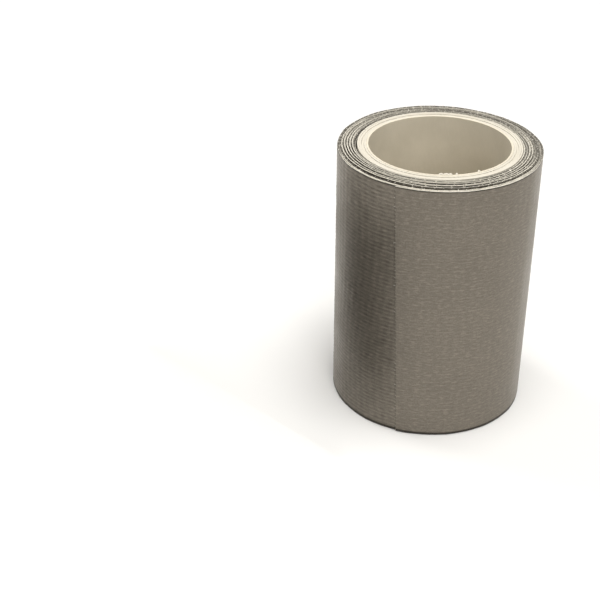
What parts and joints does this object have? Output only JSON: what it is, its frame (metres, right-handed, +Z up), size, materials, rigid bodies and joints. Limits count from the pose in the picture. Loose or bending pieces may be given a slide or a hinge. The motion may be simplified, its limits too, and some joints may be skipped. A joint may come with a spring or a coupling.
{
  "type": "duct tape roll",
  "caption": "Compact roll of silver-grey cloth duct tape wound on a paper core, standing on its end, with a free tail that peels open.",
  "frame": {"origin": "centre of the lower end face, on the roll's axis, where the roll stands on a table", "axes": "+Z up along the roll's axis and the core's bore; -Y towards the side that carries the tape's cut end"},
  "size_m": [0.0367, 0.0367, 0.0508],
  "materials": {
    "core_liner": "matte",
    "core_board": "matte",
    "backing_film": "satin",
    "scrim_cloth": "matte",
    "adhesive": "satin"
  },
  "bodies": {
    "roll": {"core_inner_liner": "core_liner", "core_board_ply_1": "core_board", "core_board_ply_2": "core_board", "core_board_ply_3": "core_board", "core_outer_wrap": "core_board", "wound_backing_film": "backing_film", "wound_scrim_cloth": "scrim_cloth", "wound_adhesive": "adhesive"},
    "tail": {"tail_backing_film": "backing_film", "tail_scrim_cloth": "scrim_cloth", "tail_adhesive": "adhesive"}
  },
  "joints": [
    {"name": "tail_peel", "type": "hinge", "parent": "roll", "child": "tail", "pos_m": [0.01448, -0.0111, 0.0254], "axis": [0, 0, 1], "range_deg": [0, 120]}
  ]
}
